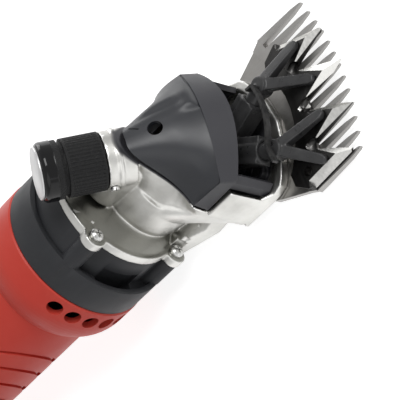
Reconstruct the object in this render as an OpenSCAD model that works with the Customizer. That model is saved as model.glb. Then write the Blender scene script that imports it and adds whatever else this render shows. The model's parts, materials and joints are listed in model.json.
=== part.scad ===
// Corded electric sheep shears: motor handle, gear case, cast head, tension knob, comb and cutter.
// X runs forward from the cable end to the comb, Z is up on the knob side, and the motor axis is Z = 0.

/* [Body] */
// Length from the cable end to the front edge of the red housing
seam_x = 200; // [195:1:215]
// Length of the rear cap
cap_len = 46; // [44:1:48]
// Radius of the gripped part of the housing
grip_r = 27.5; // [27:0.25:29]
// Radius of the wide front collar
collar_r = 34; // [33.5:0.25:36]
// Length of the wide front collar
collar_len = 9.5; // [9.5:0.5:12]
// Thickness of the moulded walls
wall = 3; // [2.5:0.1:3.2]
// Number of arched grooves on each side of the grip
grooves = 5; // [3:1:5]
// Distance from one arched groove to the next
groove_step = 10.9; // [9.5:0.1:11]
// Diameter of the round air outlets in the collar
vent_d = 7; // [5:0.5:7.5]
// Angle from one air outlet to the next
vent_step = 15; // [14:0.5:16]
// Bore of the cable gland
gland_bore = 7; // [6:0.5:8]

/* [Motor] */
// Radius of the armature core
armature_r = 14.5; // [13:0.5:14.5]
// Length of the armature core
armature_len = 45; // [40:1:48]
// Radial air gap between the armature and the field core
air_gap = 0.5; // [0.4:0.1:0.8]
// Outer radius of the cooling fan
fan_r = 24; // [21:0.5:24.5]
// Number of fan blades
fan_blades = 11; // [8:1:13]
// Outer radius of each armature bearing
bearing_r = 9.5; // [9.5:0.25:10]

/* [Gears] */
// Tooth module of the gear pair
gear_module = 0.75; // [0.74:0.005:0.76]
// Teeth on the motor pinion
pinion_teeth = 9; // [9:1:10]
// Teeth on the drive gear
wheel_teeth = 31; // [30:1:32]

/* [Head] */
// Length of the dark band of the gear case
band_len = 14.7; // [13:0.1:16]
// Distance from the seam to the back of the cast flange
flange_x = 27; // [26.5:0.1:28]
// Thickness of the cast flange
flange_t = 4; // [3.5:0.1:4.5]
// Half the distance between flange screws
lobe_pos = 21; // [20.5:0.1:21.5]
// Radius of the bulb that carries the crank, at its back edge
neck_r = 17.6; // [17.2:0.1:18.4]
// Reach of the nose of the head in front of its middle, seen from above
nose_r = 29.4; // [29:0.1:30]
// Distance from the seam to the swing axis of the rocker
pivot_dx = 70; // [69.5:0.1:71]

/* [Blades] */
// Number of comb teeth
comb_teeth = 13; // [11:2:13]
// Distance from one comb tooth to the next
tooth_pitch = 6.1; // [5.9:0.05:6.2]
// Distance from the seam to the tip of the middle comb tooth
comb_tip_dx = 133.5; // [131:0.5:136]
// Thickness of the comb
comb_t = 3; // [2.8:0.1:3.2]
// Thickness of the cutter
cutter_t = 3.2; // [3:0.1:3.4]
// Swing of the rocker to each side of the middle
swing = 8.2; // [7:0.1:8.4]

/* [Tension] */
// Lean of the knob axis towards the handle
knob_tilt = 35; // [34.5:0.1:35.5]
// Outer radius of the knurled knob
knob_r = 11.8; // [11:0.1:12.5]
// Length of the knob with its end plate
knob_len = 26.4; // [25:0.2:28]
// Number of knurl flutes round the knob
flutes = 48; // [36:4:60]

/* [Fits] */
// Gap between pieces that move past each other
gap = 0.3; // [0.25:0.05:0.35]
// Radial clearance of running fits
run = 0.05; // [0.03:0.01:0.08]
// Radial clearance of fixed pieces in their seats
seat = 0.05; // [0.02:0.01:0.1]

/* [Hidden] */
$fn = 64;
fx = seam_x;
stator_r = grip_r - wall - 0.1;
crank_z = -gear_module * (pinion_teeth + wheel_teeth) / 2;
pivot_x = fx + pivot_dx;
roller_dx = pivot_dx - 17;
throw = (pivot_dx - roller_dx) * tan(swing);
roller_r = 3.5;
slot_half = roller_r + 2 * throw + 0.5;
comb_top = -32;
cutter_bottom = comb_top + 0.2;
yoke_z = -17;
arm_z = -21.5;
arm_angle = 25.5;
root_r = 33.7;
toes = [[50.5, 9.4], [52.6, 29.5]];
toe_pin_r = 1.9;
shaft_r = 4;
journal_r = 3;
stack_x0 = fx - 39 - armature_len;
stack_x1 = fx - 39;
comm_x = fx - 105;
rear_bearing_x = fx - 125;
tension_x = fx + 51.6;
tension_z = 26.3;
boss_r = 11.5;
sleeve_r = 7.5;
pin_r = 3;
screw_r = 2;
flange_screw_r = 1.6;
shoulder_x = fx - 25;
nose_x = fx + 67;
pin_tip = 29.6;

// A round bar along X from x0 to x1
module bar_x(x0, x1, r) {
    translate([x0, 0, 0]) rotate([0, 90, 0]) cylinder(h = x1 - x0, r = r);
}

// A ring along X from x0 to x1
module ring_x(x0, x1, r_out, r_in) {
    difference() {
        bar_x(x0, x1, r_out);
        bar_x(x0 - 1, x1 + 1, r_in);
    }
}

// A flat outline in Y and Z, drawn out along X from x0 to x1
module slab_x(x0, x1) {
    translate([x0, 0, 0]) rotate([90, 0, 90]) linear_extrude(x1 - x0) children();
}

// A profile of radius and X turned round the motor axis
module turned_x() {
    rotate([0, 90, 0]) rotate_extrude($fn = 96) children();
}

// The swinging frame: origin on the swing axis, turned to the photographed end of the stroke
module on_rocker() {
    translate([pivot_x, 0, 0]) rotate([0, 0, -swing]) children();
}

// The tension frame: origin at the inner end of the knob, Z out along the knob axis
module on_tension() {
    translate([tension_x, 0, tension_z]) rotate([0, -knob_tilt, 0]) children();
}

// Copies at the four flange screw places
module at_lobes() {
    for (sy = [-1, 1], sz = [-1, 1]) translate([0, sy * lobe_pos, sz * lobe_pos]) children();
}

// A sector of a disc between two angles, wide enough to reach past radius r
module wedge(r, a0, a1) {
    mid = (a0 + a1) / 2;
    polygon([[0, 0], [2 * r * cos(a0), 2 * r * sin(a0)], [2 * r * cos(mid), 2 * r * sin(mid)],
        [2 * r * cos(a1), 2 * r * sin(a1)]]);
}

// A flat arc band between two radii and two angles
module arc_band(r_in, r_out, a0, a1) {
    intersection() {
        difference() {
            circle(r = r_out, $fn = 96);
            circle(r = r_in, $fn = 96);
        }
        wedge(r_out, a0, a1);
    }
}

// Outline of a spur gear with straight-sided teeth and generous backlash, one tooth on the first axis
module gear_outline(teeth) {
    rp = gear_module * teeth / 2;
    half_pitch = gear_module * 0.62;
    circle(r = rp - 0.95 * gear_module, $fn = 64);
    for (k = [0:teeth - 1]) rotate(k * 360 / teeth)
        polygon([[rp - 1.3 * gear_module, -half_pitch], [rp + 0.75 * gear_module, -half_pitch * 0.42],
            [rp + 0.75 * gear_module, half_pitch * 0.42], [rp - 1.3 * gear_module, half_pitch]]);
}

module motor_housing() {
    in_r = grip_r - wall;
    color([0.72, 0.14, 0.1]) difference() {
        union() {
            turned_x() difference() {
                union() {
                    square_between(cap_len, shoulder_x, grip_r);
                    shoulder();
                    square_between(fx - collar_len, fx, collar_r);
                }
                translate([collar_r, fx]) rotate(45) square(0.8, center = true);
                polygon([[0, fx - 26], [in_r, fx - 26], [in_r, shoulder_x + 2],
                    [collar_r - wall, fx - collar_len], [collar_r - wall, fx + 1], [0, fx + 1]]);
                square_between(rear_bearing_x + 8, fx - 25, in_r);
                square_between(rear_bearing_x, fx, bearing_r + seat);
                square_between(rear_bearing_x - 4, fx, shaft_r + 1.5);
                square_between(cap_len - 1, rear_bearing_x - 3, in_r);
            }
            intersection() {
                at_lobes() bar_x(fx - 14, fx - 4.2, 5);
                bar_x(fx - 30, fx, collar_r - wall + 0.5);
            }
            at_cap_screws() bar_x(cap_len + 5.3, rear_bearing_x - 2, 5);
        }
        at_lobes() bar_x(fx - 12.5, fx, flange_screw_r + seat);
        at_cap_screws() bar_x(cap_len, rear_bearing_x - 2.2, screw_r + seat);
        for (side = [0, 180], k = [-2:2]) rotate([side + k * vent_step, 0, 0])
            translate([fx - 6.3, 0, 0]) rotate([90, 0, 0]) translate([0, 0, collar_r - wall - 1.5])
                cylinder(h = wall + 4, d = vent_d);
        for (side = [-1, 1]) translate([comm_x, 0, 0]) rotate([side * 90, 0, 0])
            cylinder(h = grip_r + 5, r = 6 + seat);
        for (side = [-1, 1]) translate([rear_bearing_x - 5, 0, side * 16]) bar_x(0, 15, 4);
        for (side = [-1, 1], k = [0:grooves - 1]) grip_groove(side, fx - 41 - k * groove_step);
    }
}

// One arched groove in a side of the grip, with its crown at x
module grip_groove(side, x) {
    r = 20;
    intersection() {
        translate([x - r, 0, 0]) rotate([-90 * side, 0, 0]) linear_extrude(grip_r + 5) difference() {
            circle(r = r + 0.9, $fn = 96);
            circle(r = r - 0.9, $fn = 96);
            translate([-r - 5, -r - 5]) square([r + 5, 2 * r + 10]);
        }
        ring_x(x - r - 5, x + 5, grip_r + 1, grip_r - 1.2);
    }
}

// Copies at the two rear cap screws
module at_cap_screws() {
    for (side = [-1, 1]) translate([0, side * 13.5, -8]) children();
}

// A half profile from x0 to x1 up to radius r, in the turning frame
module square_between(x0, x1, r) {
    translate([0, x0]) square([r, x1 - x0]);
}

// The rounded step from the grip up to the collar, in the turning frame
module shoulder() {
    run_len = fx - collar_len - shoulder_x;
    rise = collar_r - grip_r;
    polygon(concat([[0, shoulder_x - 0.1], [grip_r, shoulder_x - 0.1]],
        [for (a = [0:10:90])
            [grip_r + rise * sin(a), shoulder_x + run_len * (0.35 * (1 - cos(a)) + 0.65 * a / 90)]],
        [[0, fx - collar_len]]));
}

module rear_cap() {
    color([0.13, 0.13, 0.14]) difference() {
        union() {
            turned_x() difference() {
                union() {
                    square_between(8, cap_len - 0.2, grip_r);
                    square([grip_r - 8, 9]);
                    intersection() {
                        translate([grip_r - 8, 8]) circle(r = 8, $fn = 64);
                        square_between(0, 8, grip_r);
                    }
                }
                translate([grip_r, cap_len - 0.2]) rotate(45) square(0.8, center = true);
            }
            bar_x(cap_len - 1, cap_len + 5, grip_r - wall - 0.15);
        }
        bar_x(4, cap_len + 6, grip_r - wall - 2.4);
        bar_x(-1, 5, 7 + seat);
        bar_x(-1, 2.05, 9 + seat);
        translate([12, -9, grip_r - 3.5]) cube([26, 18, 10]);
        translate([14.9, -7.1, 10]) cube([20.2, 14.2, 20]);
        at_cap_screws() {
            bar_x(-1, cap_len + 6, screw_r + 0.3);
            bar_x(-1, 2.5, 4.2);
        }
        for (side = [0, 180], k = [-2:2]) rotate([side + k * 13, 0, 0])
            translate([14, -grip_r - 2, -1]) cube([22, wall + 6, 2]);
    }
}

module rear_cap_screws() {
    color([0.35, 0.36, 0.38]) at_cap_screws() difference() {
        union() {
            bar_x(0.1, 2.4, 3.8);
            bar_x(2.3, rear_bearing_x - 3, screw_r);
        }
        translate([-0.5, 0, 0]) cross_recess();
    }
}

// A cross-shaped screwdriver recess looking along X
module cross_recess() {
    slab_x(0, 2) union() {
        square([4.2, 0.9], center = true);
        square([0.9, 4.2], center = true);
    }
}

module cable_gland() {
    color([0.05, 0.05, 0.05]) difference() {
        union() {
            bar_x(0, 2, 9);
            bar_x(1.9, 6.5, 7);
            bar_x(4.1, 6.5, 9);
        }
        bar_x(-3, 8, gland_bore / 2);
    }
}

module switch_frame() {
    z0 = grip_r - 3.5;
    color([0.06, 0.06, 0.06]) difference() {
        translate([12.3, -8.7, z0 + 0.05]) cube([25.4, 17.4, 2.2]);
        translate([16.4, -5.6, z0 - 1]) cube([17.2, 11.2, 6]);
    }
}

module switch_body() {
    z0 = grip_r - 3.5;
    color([0.1, 0.1, 0.1]) difference() {
        translate([15, -7, z0 - 13]) cube([20, 14, 12.9]);
        translate([16.4, -5.6, z0 - 8]) cube([17.2, 11.2, 10]);
        translate([25, -6.7, z0 - 1.4]) rotate([-90, 0, 0]) cylinder(h = 13.4, r = 1 + run);
    }
    color([0.8, 0.65, 0.3]) for (sx = [-6, 0, 6])
        translate([25 + sx - 0.4, -2.4, z0 - 18]) cube([0.8, 4.8, 5.5]);
}

module switch_rocker() {
    z0 = grip_r - 3.5;
    color([0.5, 0.06, 0.05]) translate([25, 0, z0]) rotate([90, 0, 0]) {
        translate([0, 0, -5.3]) linear_extrude(10.6) polygon([[-7.1, 4.2], [-6.6, 4.9], [0, 2.5], [6.6, 1.5],
            [7.1, 1], [6.2, -2.2], [0, -4.2], [-6.2, -1.6]]);
        translate([0, -1.4, -6.5]) cylinder(h = 13, r = 1);
    }
}

module field_core() {
    color([0.45, 0.46, 0.48]) difference() {
        bar_x(stack_x0, stack_x1, stator_r);
        bar_x(stack_x0 - 1, stack_x1 + 1, armature_r + air_gap);
        for (side = [-1, 1]) translate([stack_x0 - 1, side * 16 - 3.2, -12])
            cube([armature_len + 2, 6.4, 24]);
    }
}

module field_coils() {
    color([0.62, 0.3, 0.12]) for (side = [-1, 1])
        translate([stack_x0 - 5, side * 16 - 2.8, -11.5]) difference() {
            cube([armature_len + 10, 5.6, 23]);
            translate([5.2, -1, 5.5]) cube([armature_len - 0.4, 8, 12]);
            translate([-1, side * -16 + 2.8, 11.5]) bar_x(0, armature_len + 20, armature_r + air_gap);
        }
}

module armature_shaft() {
    color([0.6, 0.61, 0.63]) {
        bar_x(rear_bearing_x - 2, rear_bearing_x + 6.5, journal_r);
        bar_x(rear_bearing_x + 6.3, fx + 2.5, shaft_r);
        bar_x(fx + 2.3, fx + 11, journal_r);
        bar_x(fx + 10.8, fx + 23, 1.8);
    }
}

module armature_core() {
    slots = 12;
    color([0.4, 0.41, 0.43]) slab_x(stack_x0, stack_x1) difference() {
        circle(r = armature_r, $fn = 96);
        circle(r = shaft_r + seat);
        for (k = [0:slots - 1]) rotate(k * 360 / slots) {
            translate([armature_r - 3.4, 0]) circle(r = 1.5, $fn = 32);
            translate([armature_r - 3, -0.6]) square([4, 1.2]);
        }
    }
}

module armature_windings() {
    color([0.68, 0.35, 0.15]) {
        ring_x(stack_x0 - 8, stack_x0 - 0.1, armature_r - 1.6, shaft_r + seat);
        ring_x(stack_x1 + 0.1, stack_x1 + 8, armature_r - 1.6, shaft_r + seat);
    }
}

module commutator() {
    color([0.72, 0.42, 0.2]) slab_x(comm_x - 7, comm_x + 7) difference() {
        circle(r = 10, $fn = 64);
        circle(r = shaft_r + seat);
        for (k = [0:23]) rotate(k * 15) translate([9.2, -0.2]) square([2, 0.4]);
    }
}

module cooling_fan() {
    color([0.12, 0.12, 0.13]) {
        difference() {
            union() {
                bar_x(fx - 21, fx - 19.2, fan_r);
                bar_x(fx - 21, fx - 7, 7);
            }
            bar_x(fx - 22, fx, shaft_r + seat);
        }
        for (k = [0:fan_blades - 1]) rotate([k * 360 / fan_blades, 0, 0])
            translate([fx - 19.4, 6.5, -0.7]) cube([9, fan_r - 6.5, 1.4]);
    }
}

module motor_pinion() {
    color([0.55, 0.56, 0.58]) slab_x(fx + 12, fx + 22.5) difference() {
        rotate(-90) gear_outline(pinion_teeth);
        circle(r = 1.8 + seat, $fn = 32);
    }
}

// A ball bearing drawn as two rings and a closed cage, along X
module bearing_x(x0, w, r_out, r_in) {
    mid = (r_out + r_in) / 2;
    difference() {
        bar_x(x0, x0 + w, r_out);
        bar_x(x0 - 1, x0 + w + 1, r_in);
        ring_x(x0 - 1, x0 + 0.6, mid + 1.2, mid - 1.2);
        ring_x(x0 + w - 0.6, x0 + w + 1, mid + 1.2, mid - 1.2);
    }
}

module rear_bearing() {
    color([0.66, 0.67, 0.69]) bearing_x(rear_bearing_x + 0.1, 6, bearing_r, journal_r + run);
}

module front_bearing() {
    color([0.66, 0.67, 0.69]) bearing_x(fx + 3, 6, bearing_r, journal_r + run);
}

// Copies at the two brushes, on the left and right of the commutator
module at_brushes() {
    for (side = [0, 180]) rotate([side, 0, 0]) translate([comm_x, 0, 0]) children();
}

module brush_holders() {
    color([0.75, 0.6, 0.25]) at_brushes() difference() {
        rotate([-90, 0, 0]) translate([0, 0, 11.2]) cylinder(h = grip_r - 15.2, r = 6);
        translate([-3.05, 10, -2.05]) cube([6.1, 30, 4.1]);
    }
}

module carbon_brushes() {
    color([0.12, 0.12, 0.12]) at_brushes() translate([-3, 10.3, -2]) cube([6, 11, 4]);
}

module brush_caps() {
    color([0.08, 0.08, 0.08]) at_brushes() difference() {
        rotate([-90, 0, 0]) translate([0, 0, grip_r - 3.9]) cylinder(h = 3.6, r = 6);
        translate([-5, grip_r - 1.6, -0.6]) cube([10, 4, 1.2]);
    }
}

// Outline shared by the cast flange and the neck of the gear case, seen along X
module flange_outline(trim) {
    circle(r = 27.8 - trim, $fn = 96);
    for (sy = [-1, 1], sz = [-1, 1]) {
        translate([sy * lobe_pos, sz * lobe_pos]) circle(r = 5 - trim, $fn = 48);
        rotate(atan2(sz, sy)) translate([0, -4.3 + trim]) square([lobe_pos * sqrt(2), 8.6 - 2 * trim]);
    }
    for (s = [0, 180]) rotate(s) intersection() {
        circle(r = 31 - trim, $fn = 96);
        translate([-18.6, 0]) square([37.2, 40]);
    }
}

module gear_case() {
    color([0.14, 0.14, 0.15]) difference() {
        union() {
            bar_x(fx + 0.6, fx + band_len, collar_r - 0.3);
            bar_x(fx - 4, fx + 0.7, collar_r - wall - 0.15);
            slab_x(fx + band_len - 0.5, fx + flange_x) flange_outline(0.6);
        }
        bar_x(fx - 5, fx + 1, collar_r - wall - 4);
        slab_x(fx + 11, fx + flange_x + 1) {
            circle(r = 21.5, $fn = 64);
            translate([0, crank_z]) circle(r = 13.2, $fn = 64);
        }
        bar_x(fx + 2, fx + 9, bearing_r + seat);
        bar_x(fx - 1, fx + 12, journal_r + 2);
        translate([0, 0, crank_z]) bar_x(fx + 3, fx + 12, 4 + seat);
        at_lobes() bar_x(fx - 6, fx + flange_x + 1, flange_screw_r + 0.2);
        difference() {
            bar_x(fx + band_len - 2.5, fx + band_len + 1, collar_r - 2.8);
            slab_x(fx + band_len - 4, fx + band_len + 2) flange_outline(0.6);
        }
        for (side = [-1, 1]) translate([fx + 4, side * 27 - 3, -9]) cube([band_len, 6, 18]);
    }
}

module drive_gear() {
    color([0.5, 0.51, 0.53]) translate([0, 0, crank_z]) slab_x(fx + 13, fx + 21.5) difference() {
        rotate(90 + 180 / wheel_teeth) gear_outline(wheel_teeth);
        circle(r = shaft_r + seat);
        for (k = [0:4]) rotate(k * 72) translate([7.4, 0]) circle(r = 1.6, $fn = 32);
    }
}

module crank_shaft() {
    color([0.58, 0.59, 0.61]) translate([0, 0, crank_z]) {
        bar_x(fx + 3.6, fx + 12.6, 2.5);
        bar_x(fx + 12.4, fx + 42.2, shaft_r);
        bar_x(fx + 42, fx + 45, 8);
        translate([0, throw, 0]) bar_x(fx + 44.8, fx + 57.5, 2.5);
    }
}

module crank_bush() {
    color([0.7, 0.55, 0.25]) translate([0, 0, crank_z]) ring_x(fx + 4, fx + 10.5, 4, 2.5 + run);
}

module crank_bearing() {
    color([0.66, 0.67, 0.69]) translate([0, 0, crank_z]) bearing_x(fx + 34.5, 6, 8, shaft_r + run);
}

module crank_roller() {
    color([0.62, 0.5, 0.28]) translate([0, throw, crank_z])
        ring_x(fx + roller_dx - 3.2, fx + roller_dx + 3.2, roller_r, 2.5 + run);
}

// Height of the rear edge of the cover over its half-width: a bell with hollow flanks
function bell(y) = -4 + 29.3 / (1 + pow(abs(y) / 13, 3.6));

// One point of the crease where the hood of the head leaves the bulb: h is 0 at the top and 1 at the bottom
function crease_point(h, side) = [
    fx + lookup(h, [[0, 53], [0.2, 51], [0.35, 49.5], [0.45, 51], [0.55, 55], [0.62, 57.5], [0.75, 59.5],
        [1, 59.5]]),
    side * lookup(h, [[0, 0], [0.2, 10], [0.35, 17], [0.45, 20], [0.55, 22.5], [0.62, 24], [0.75, 25.6],
        [0.85, 25.6], [1, 0]]),
    lookup(h, [[0, 14], [0.2, 9.5], [0.35, 0], [0.45, -7.5], [0.55, -12.5], [0.62, -16], [0.75, -25],
        [0.85, -31.8], [1, -31.8]])];

// One point of the front rim of the hood, on the same count of h
function rim_point(h, side) =
    let (y = lookup(h, [[0, 0], [0.55, 27], [0.85, 28], [1, 0]]),
        low = lookup(h, [[0.55, bell(27) + 0.3], [0.85, comb_top], [1, comb_top]]))
    [fx + 64, side * y, h < 0.55 ? bell(y) + 0.3 : low];

// A solid skin over closed loops of points, closed by a fan at the first loop and a flat end at the last
module skin(loops, hub) {
    n = len(loops[0]);
    m = len(loops);
    points = concat([hub], [for (loop = loops) for (p = loop) p]);
    at = function (k, j) 1 + k * n + j % n;
    polyhedron(points, concat(
        [for (j = [0:n - 1]) [0, at(0, j), at(0, j + 1)]],
        [for (k = [0:m - 2], j = [0:n - 1], f = [0, 1])
            f == 0 ? [at(k, j), at(k + 1, j), at(k + 1, j + 1)]
                : [at(k, j), at(k + 1, j + 1), at(k, j + 1)]],
        [[for (j = [0:n - 1]) at(m - 1, n - 1 - j)]]));
}

// The hood: a curved skin from the crease to the rim behind the cover
module hood() {
    half = 26;
    steps = 6;
    skin([for (k = [0:steps]) [for (j = [0:2 * half - 1])
        let (h = j <= half ? j / half : (2 * half - j) / half, side = j <= half ? -1 : 1, v = k / steps,
            a = crease_point(h, side), d = rim_point(h, side) - a)
        a + [d[0] * v, d[1] * pow(v, 0.8), d[2] * pow(v, 1.25)]]],
        [fx + 58, 0, -10]);
}

// Copies at the two screws that hold the comb, at height z
module at_comb_screws(z) {
    for (side = [-1, 1]) translate([fx + 79, side * 14, z]) children();
}

// Blunt base of the head, seen from above, with its front at r
module nose_outline(r) {
    half = [[-0.17, 0.973], [0.544, 0.973], [0.701, 0.918], [0.769, 0.837], [0.864, 0.639], [0.952, 0.306]];
    last = len(half) - 1;
    polygon([for (p = concat(half, [[1, 0]], [for (k = [last:-1:0]) [half[k][0], -half[k][1]]]))
        [nose_x + p[0] * r, p[1] * r]]);
}

// Two walls along the edge of the nose, one on each side
module nose_sides(r_in, r_out, a0, a1) {
    for (side = [0, 1]) mirror([0, side]) intersection() {
        difference() {
            nose_outline(r_out);
            nose_outline(r_in);
        }
        translate([nose_x, 0]) wedge(r_out, a0, a1);
    }
}

module head_casting() {
    color([0.72, 0.71, 0.68]) difference() {
        union() {
            slab_x(fx + flange_x, fx + flange_x + flange_t) flange_outline(0);
            hull() {
                bar_x(fx + flange_x + flange_t - 0.5, fx + flange_x + flange_t, 25.8);
                translate([0, 0, -6.4]) bar_x(fx + 34, fx + 34.6, neck_r - 0.8);
            }
            hull() {
                translate([0, 0, -6.4]) bar_x(fx + 34.5, fx + 35, neck_r);
                translate([0, 0, -7]) bar_x(fx + 36.5, fx + 37, neck_r + 1);
                translate([0, 0, -7.5]) bar_x(fx + 50, fx + 50.5, neck_r + 2.2);
            }
            hull() {
                translate([0, 0, -7.5]) bar_x(fx + 46, fx + 46.5, neck_r + 1.8);
                slab_x(fx + 63, fx + 63.5) translate([-27, comb_top]) square([54, 19]);
            }
            hull() {
                slab_x(fx + flange_x + 1, fx + flange_x + 2) translate([-18, -29]) square([36, 10]);
                slab_x(fx + 49, fx + 49.5) translate([-22.4, -29.6]) square([44.8, 7]);
                slab_x(fx + 58, fx + 58.5) translate([-20, -31.5]) square([40, 9]);
            }
            hood();
            hull() {
                translate([0, 0, 14]) bar_x(fx + 34.5, fx + 35, 7.4);
                on_tension() translate([0, 0, -7]) cylinder(h = 1, r = boss_r - 1.2, $fn = 48);
                translate([0, 0, 10]) bar_x(fx + 57, fx + 58, 9);
            }
            intersection() {
                on_tension() {
                    translate([0, 0, -12]) cylinder(h = 11.7, r = boss_r);
                    translate([0, 0, -6.2]) cylinder(h = 1.5, r = boss_r + 0.6);
                }
                translate([fx, -50, 0]) cube([63.6, 100, 60]);
            }
            translate([0, 0, comb_top]) linear_extrude(1.8) nose_outline(nose_r);
            translate([0, 0, comb_top]) linear_extrude(3.8) nose_sides(nose_r - 3.8, nose_r, 34, 96);
            translate([0, 0, comb_top]) linear_extrude(-9.3 - comb_top)
                nose_sides(nose_r - 2.6, nose_r, 68, 97);
            for (side = [0, 1]) mirror([0, side, 0]) translate([fx, 0.97 * nose_r, 0]) rotate([90, 0, 0])
                linear_extrude(1.6) polygon([[78, -29], [78, -25.2], [83.5, -28.4], [83.5, -29]]);
            at_comb_screws(comb_top) cylinder(h = 4.6, r = 4.5);
            translate([fx + 48, -13, comb_top - comb_t]) cube([23, 26, comb_t + 0.5]);
            translate([pivot_x, 0, comb_top]) cylinder(h = 4.5, r = 8);
        }
        hull() {
            slab_x(fx + 47.5, fx + 48) translate([-16, -26]) square([32, 26]);
            slab_x(fx + 66, fx + 66.5) polygon([[0, 16], [19, -6], [22.8, -10], [23.4, comb_top + 3],
                [-23.4, comb_top + 3], [-22.8, -10], [-19, -6]]);
        }
        translate([0, 0, crank_z]) bar_x(fx + 34.4, fx + 48, 8 + seat);
        translate([0, 0, crank_z]) bar_x(fx + 41, fx + 48, 9.2);
        translate([0, 0, crank_z]) bar_x(fx + 20, fx + 35, 5.2);
        at_lobes() bar_x(fx + 20, fx + 40, flange_screw_r + 0.2);
        at_lobes() bar_x(fx + flange_x + flange_t, fx + 36.5, 3.3);
        on_tension() translate([0, 0, -34]) cylinder(h = 40, r = 6 + seat);
        on_tension() translate([0, 0, -0.3]) cylinder(h = 40, r = knob_r + 0.6);
        at_comb_screws(comb_top - 1) cylinder(h = 8.5, r = screw_r + seat);
        translate([pivot_x, 0, comb_top - 1]) cylinder(h = 10, r = 4 + seat);
        on_lock() cylinder(h = 12, r = 1.2 + seat);
    }
}

// The lock screw frame: origin on the boss wall at the right, Z outwards
module on_lock() {
    on_tension() translate([0, 0, -2.6]) rotate([0, 0, 248]) rotate([90, 0, 90])
        translate([0, 0, boss_r - 4]) children();
}

module flange_screws() {
    top = fx + flange_x + flange_t + 0.05;
    color([0.62, 0.62, 0.6]) at_lobes() difference() {
        union() {
            turned_x() {
                square_between(top, top + 1.4, 2.9);
                polygon([[0, top + 1.3], [2.9, top + 1.3], [2.3, top + 2.1], [1.3, top + 2.4],
                    [0, top + 2.4]]);
            }
            bar_x(fx - 12, top + 0.5, flange_screw_r);
        }
        translate([top + 1.2, 0, 0]) scale(0.75) cross_recess();
    }
}

module boss_lock_screw() {
    color([0.6, 0.6, 0.58]) on_lock() difference() {
        union() {
            translate([0, 0, 0.2]) cylinder(h = 4.2, r = 1.2);
            translate([0, 0, 4.05]) cylinder(h = 1.3, r = 1.8);
        }
        translate([-3, -0.3, 4.7]) cube([6, 0.6, 2]);
    }
}

// One point of the cover: a runs from 0 on the middle line to 1 at the rear lower corner of a side,
// row 0 is the rear edge, row 1 the inner line of the front band and row 2 its outer edge
function cover_point(a, side, row) =
    let (q = min(a / 0.64, 1), w = max(0, (a - 0.64) / 0.36), v = min(row, 1),
        y0 = 26 * a, y1 = 27.4 * q, y2 = 27.3 * q,
        inner = [90.4 - 0.01132 * y1 * y1, y1, 4.8 - 0.0076 * y1 * y1] + w * [-16.6, -1.2, -0.4],
        outer = [96.6 - 0.01583 * y2 * y2, y2, -4.8 - 0.00376 * y2 * y2] + w * [-19.8, -0.4, -0.9],
        rear = [66 - 1.6 * min(y0 / 18, 1), y0, bell(y0)],
        left = lookup(a, [[0, 0.8], [0.2, 1.4], [0.32, 3.8], [0.7, 4.4], [0.85, 2.4], [1, 0]]),
        right = lookup(a, [[0, 0.8], [0.3, 0.4], [0.6, -0.8], [1, 0]]),
        lift = [0, 0, sin(180 * v) * (side > 0 ? left : right)],
        p = row <= 1 ? rear + (inner - rear) * v + lift : inner + (outer - inner) * (row - 1))
    [fx + p[0], side * p[1], p[2]];

// A shell between two grids of points, closed round its edges
module shell(outside, inside) {
    n = len(outside[0]);
    m = len(outside);
    out = function (k, j) k * n + j;
    ins = function (k, j) m * n + k * n + j;
    rim = concat([for (j = [0:n - 2]) [0, j]], [for (k = [0:m - 2]) [k, n - 1]],
        [for (j = [n - 1:-1:1]) [m - 1, j]], [for (k = [m - 1:-1:1]) [k, 0]]);
    polyhedron([for (grid = [outside, inside]) for (row = grid) for (p = row) p], concat(
        [for (k = [0:m - 2], j = [0:n - 2], f = [0, 1])
            f == 0 ? [out(k, j), out(k, j + 1), out(k + 1, j + 1)]
                : [out(k, j), out(k + 1, j + 1), out(k + 1, j)]],
        [for (k = [0:m - 2], j = [0:n - 2], f = [0, 1])
            f == 0 ? [ins(k, j), ins(k + 1, j + 1), ins(k, j + 1)]
                : [ins(k, j), ins(k + 1, j), ins(k + 1, j + 1)]],
        [for (e = [0:len(rim) - 1], f = [0, 1])
            let (a = rim[e], b = rim[(e + 1) % len(rim)])
            f == 0 ? [out(a[0], a[1]), ins(a[0], a[1]), ins(b[0], b[1])]
                : [out(a[0], a[1]), ins(b[0], b[1]), out(b[0], b[1])]]));
}

// The domed part of the cover with its front band
module cover_dome() {
    half = 20;
    thin = 0.925;
    core = [fx + 66, 0, -14];
    rows = [0, 0.15, 0.3, 0.45, 0.6, 0.75, 0.9, 1, 1.5, 2];
    outside = [for (r = rows) [for (j = [-half:half]) cover_point(abs(j) / half, j < 0 ? -1 : 1, r)]];
    shell(outside, [for (row = outside) [for (p = row) core + (p - core) * thin]]);
}

module head_cover() {
    color([0.15, 0.15, 0.16]) difference() {
        union() {
            cover_dome();
            for (side = [0, 1]) mirror([0, side, 0]) translate([fx, 0, -27.6]) linear_extrude(21.2)
                polygon([[78.8, 26.3], [82.4, 26.3], [85.2, 24.6], [84, 22.5], [81.6, 23.9], [78.8, 23.9]]);
        }
        translate([fx + 64.8, 0, 0]) rotate([0, 32, 0]) cylinder(h = 40, r = 3.1);
    }
}

module centre_post() {
    color([0.6, 0.61, 0.63]) translate([pivot_x, 0, comb_top + 0.2]) {
        cylinder(h = 8.2, r = 4);
        translate([0, 0, 8.2]) sphere(r = 4);
    }
}

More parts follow.
